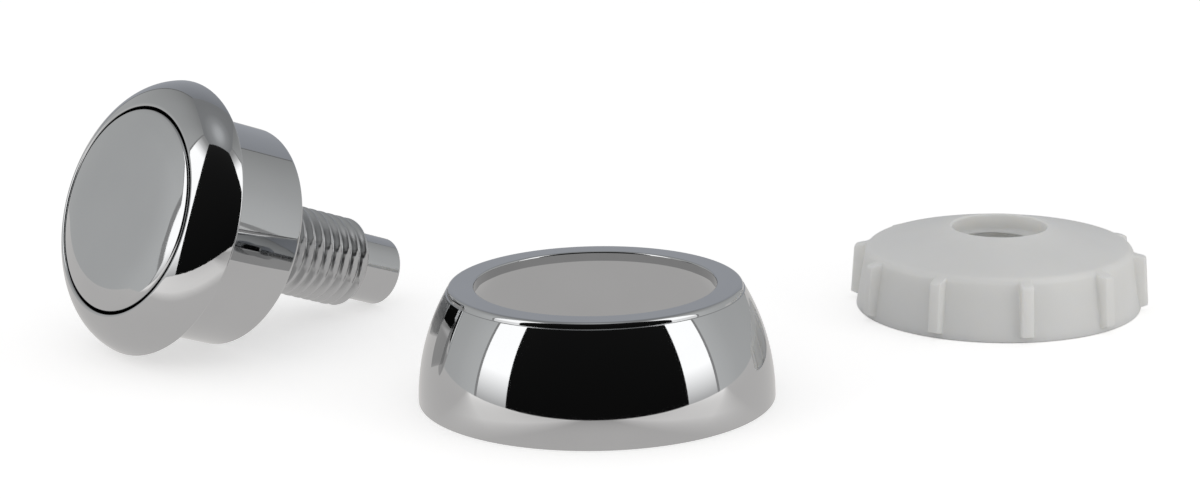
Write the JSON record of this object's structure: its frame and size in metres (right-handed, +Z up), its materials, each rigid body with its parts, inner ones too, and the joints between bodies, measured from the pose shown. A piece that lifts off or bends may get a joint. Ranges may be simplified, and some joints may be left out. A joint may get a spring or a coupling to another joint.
{
  "type": "push button cistern actuator",
  "caption": "Chromed push button unit with a threaded stem, its domed dress ring and a white ribbed back nut, shown taken apart, for working a flush valve through a cistern lid.",
  "frame": {"origin": "centre of the dress ring's base, on the surface that all pieces lie on", "axes": "+Z up, out of the dress ring's opening; the button unit lies at -X and the back nut at +X"},
  "size_m": [0.1885, 0.1044, 0.0458],
  "materials": {
    "chrome": "bright chrome plate",
    "chrome_button": "bright chrome plate",
    "chrome_ring": "bright chrome plate",
    "rod_plastic": "natural acetal",
    "spring_steel": "drawn wire",
    "nut_plastic": "satin moulded"
  },
  "bodies": {
    "actuator": {"housing": "chrome", "return_spring": "spring_steel", "dress_ring": "chrome_ring", "back_nut": "nut_plastic"},
    "button": {"button_cap": "chrome_button", "push_rod": "rod_plastic", "retaining_clip": "spring_steel"}
  },
  "joints": [
    {"name": "button_press", "type": "slide", "parent": "actuator", "child": "button", "axis": [0.7088, 0.6026, -0.3666], "range_m": [0, 0.006], "stiffness_N_per_m": 600, "springref_m": -0.01, "deforming": ["return_spring"]}
  ]
}
